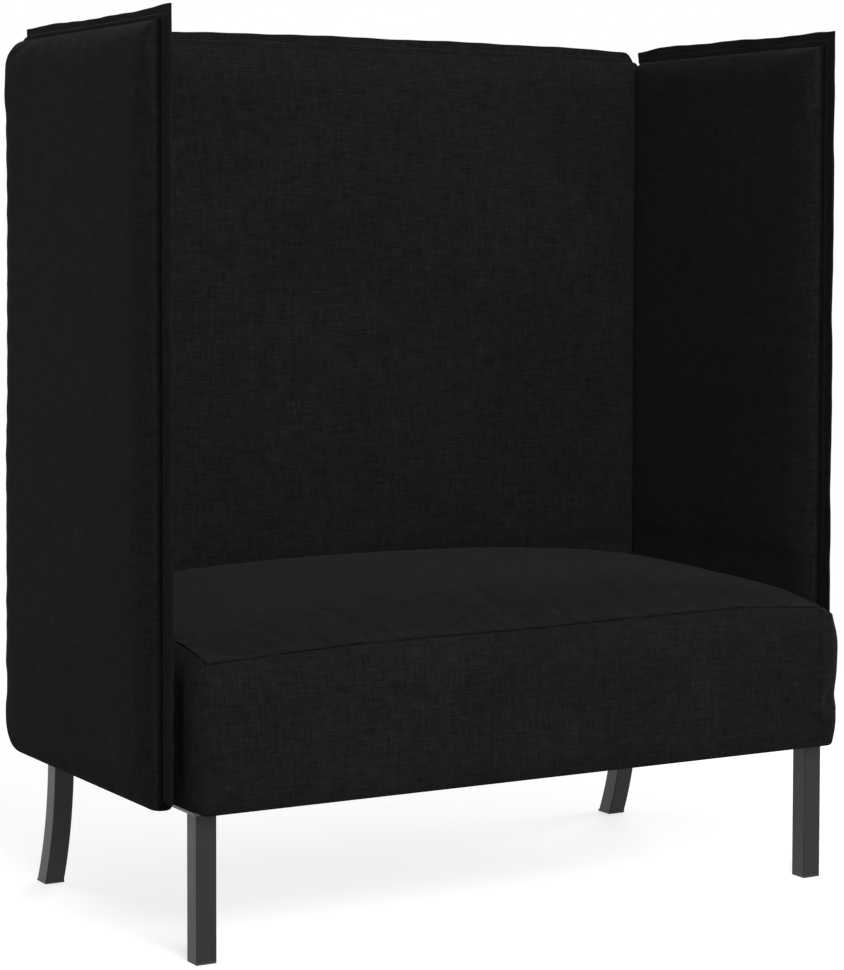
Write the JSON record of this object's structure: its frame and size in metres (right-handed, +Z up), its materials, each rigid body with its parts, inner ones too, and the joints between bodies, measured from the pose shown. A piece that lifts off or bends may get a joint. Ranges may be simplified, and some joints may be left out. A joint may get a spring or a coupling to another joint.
{
  "type": "high back settee",
  "caption": "Upholstered bench seat closed in by a tall back and two tall padded side wings with standing seams, on slim square-tube legs.",
  "frame": {"origin": "on the floor, under the middle of the overall width and depth", "axes": "+Z up, the sitter faces -Y, +X is to the right as seen from the front"},
  "size_m": [1.136, 0.588, 1.26],
  "materials": {
    "cover_fabric": "woven linen-look upholstery cloth, near black",
    "dust_cloth": "non-woven black cloth",
    "foam": "open-cell foam",
    "felt": "needled felt",
    "plywood": "birch plywood, sanded",
    "timber": "planed beech",
    "spring_steel": "oil-hardened wire",
    "leg_coat": "dark grey powder coat",
    "glide_plastic": "matte",
    "zinc_steel": "zinc plated"
  },
  "bodies": {
    "root": {"back_board": "plywood", "back_bolt_spacers": "zinc_steel", "back_bolt_washers": "zinc_steel", "back_bolts": "zinc_steel", "back_foam": "foam", "back_front_cover": "cover_fabric", "back_rear_cover": "cover_fabric", "back_tee_nuts": "zinc_steel", "back_wadding": "foam", "dust_cover": "dust_cloth", "front_left_foot_glide": "glide_plastic", "front_left_leg": "leg_coat", "front_left_leg_plate": "leg_coat", "front_right_foot_glide": "glide_plastic", "front_right_leg": "leg_coat", "front_right_leg_plate": "leg_coat", "left_wing_board": "plywood", "left_wing_inner_cover": "cover_fabric", "left_wing_inner_pad": "foam", "left_wing_outer_cover": "cover_fabric", "left_wing_outer_pad": "foam", "leg_screws": "zinc_steel", "panel_screws": "zinc_steel", "rail_joint_screws": "zinc_steel", "rear_left_foot_glide": "glide_plastic", "rear_left_leg": "leg_coat", "rear_left_leg_plate": "leg_coat", "rear_right_foot_glide": "glide_plastic", "rear_right_leg": "leg_coat", "rear_right_leg_plate": "leg_coat", "right_wing_board": "plywood", "right_wing_inner_cover": "cover_fabric", "right_wing_inner_pad": "foam", "right_wing_outer_cover": "cover_fabric", "right_wing_outer_pad": "foam", "seat_border_cover": "cover_fabric", "seat_centre_rail": "timber", "seat_corner_blocks": "timber", "seat_foam": "foam", "seat_front_padding": "foam", "seat_front_rail": "timber", "seat_left_padding": "foam", "seat_left_rail": "timber", "seat_rear_rail": "timber", "seat_right_padding": "foam", "seat_right_rail": "timber", "seat_springs": "spring_steel", "seat_top_cover": "cover_fabric", "spring_clips": "spring_steel", "spring_insulator": "felt", "wing_bolt_spacers": "zinc_steel", "wing_bolt_washers": "zinc_steel", "wing_bolts": "zinc_steel", "wing_tee_nuts": "zinc_steel"}
  },
  "joints": []
}
